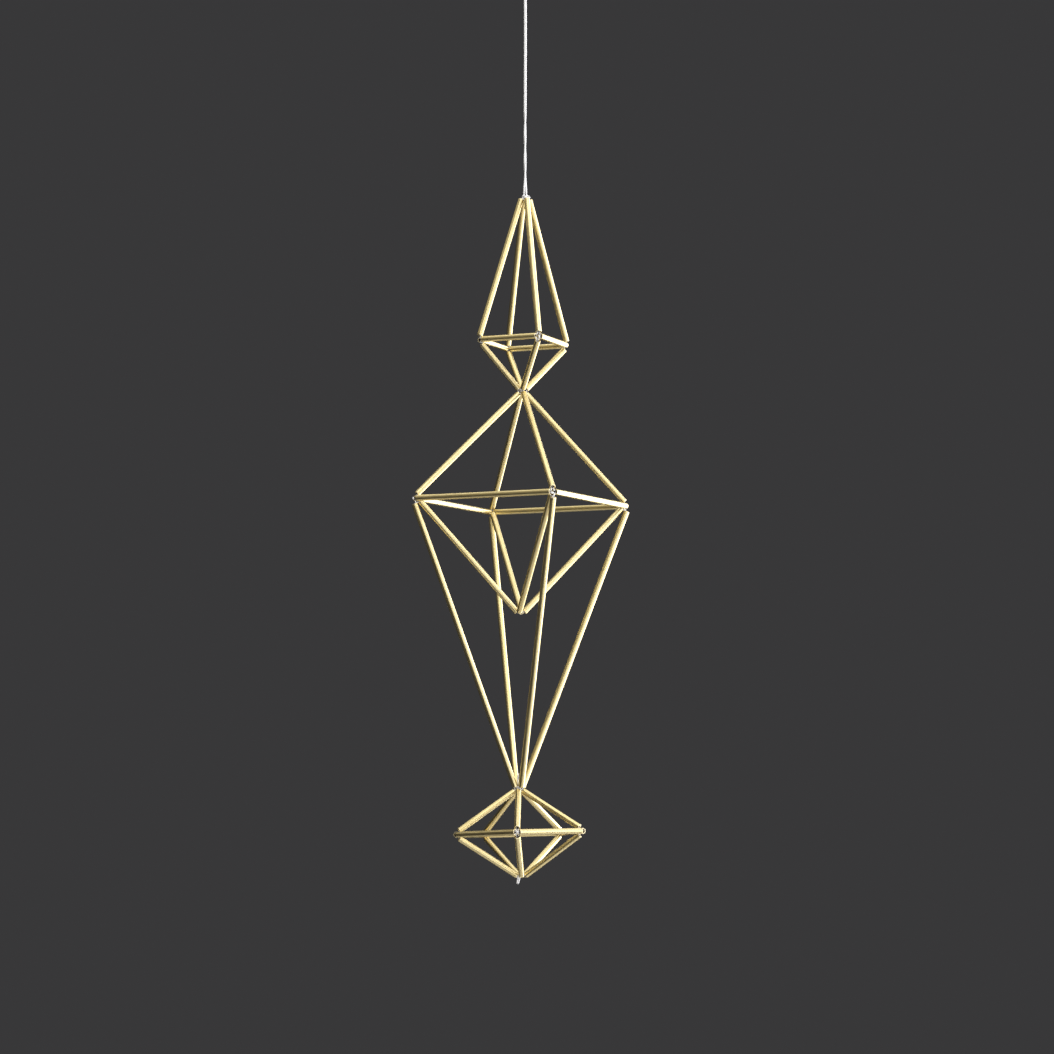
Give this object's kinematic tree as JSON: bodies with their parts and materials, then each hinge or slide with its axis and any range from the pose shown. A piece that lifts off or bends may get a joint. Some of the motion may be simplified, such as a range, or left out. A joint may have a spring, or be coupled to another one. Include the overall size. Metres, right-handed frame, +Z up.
{
  "type": "hanging mobile sculpture",
  "caption": "Hanging himmeli mobile of thin metal tubes laced on thread: a tall diamond, a long open cage around an octahedron, and a flat faceted drop, under a loop.",
  "frame": {"origin": "the point inside the top of the hanging loop where it rests on its hook", "axes": "+Z up along the plumb line, -Y the front that the picture shows, +X to its right"},
  "size_m": [0.073, 0.0731, 0.3238],
  "materials": {
    "brass_tube": "satin raw brass, drawn lengthwise, slightly tarnished",
    "thread": "white twisted cotton thread"
  },
  "bodies": {
    "root": {"upper_top_tube_front": "brass_tube", "upper_top_tube_right": "brass_tube", "upper_top_tube_back": "brass_tube", "upper_top_tube_left": "brass_tube", "upper_ring_tube_front_right": "brass_tube", "upper_ring_tube_back_right": "brass_tube", "upper_ring_tube_back_left": "brass_tube", "upper_ring_tube_front_left": "brass_tube", "upper_lower_tube_front": "brass_tube", "upper_lower_tube_right": "brass_tube", "upper_lower_tube_back": "brass_tube", "upper_lower_tube_left": "brass_tube", "middle_top_tube_front": "brass_tube", "middle_top_tube_right": "brass_tube", "middle_top_tube_back": "brass_tube", "middle_top_tube_left": "brass_tube", "middle_ring_tube_front_right": "brass_tube", "middle_ring_tube_back_right": "brass_tube", "middle_ring_tube_back_left": "brass_tube", "middle_ring_tube_front_left": "brass_tube", "middle_inner_tube_front": "brass_tube", "middle_inner_tube_right": "brass_tube", "middle_inner_tube_back": "brass_tube", "middle_inner_tube_left": "brass_tube", "middle_long_tube_front": "brass_tube", "middle_long_tube_right": "brass_tube", "middle_long_tube_back": "brass_tube", "middle_long_tube_left": "brass_tube", "lower_top_tube_front": "brass_tube", "lower_top_tube_right": "brass_tube", "lower_top_tube_back_right": "brass_tube", "lower_top_tube_back_left": "brass_tube", "lower_top_tube_left": "brass_tube", "lower_ring_tube_front_right": "brass_tube", "lower_ring_tube_right": "brass_tube", "lower_ring_tube_back": "brass_tube", "lower_ring_tube_left": "brass_tube", "lower_ring_tube_front_left": "brass_tube", "lower_bottom_tube_front": "brass_tube", "lower_bottom_tube_right": "brass_tube", "lower_bottom_tube_back_right": "brass_tube", "lower_bottom_tube_back_left": "brass_tube", "lower_bottom_tube_left": "brass_tube", "upper_lacing_thread": "thread", "middle_lacing_thread": "thread", "lower_lacing_thread": "thread", "hanging_thread": "thread", "loop_knot": "thread", "hanging_loop": "thread"}
  },
  "joints": []
}
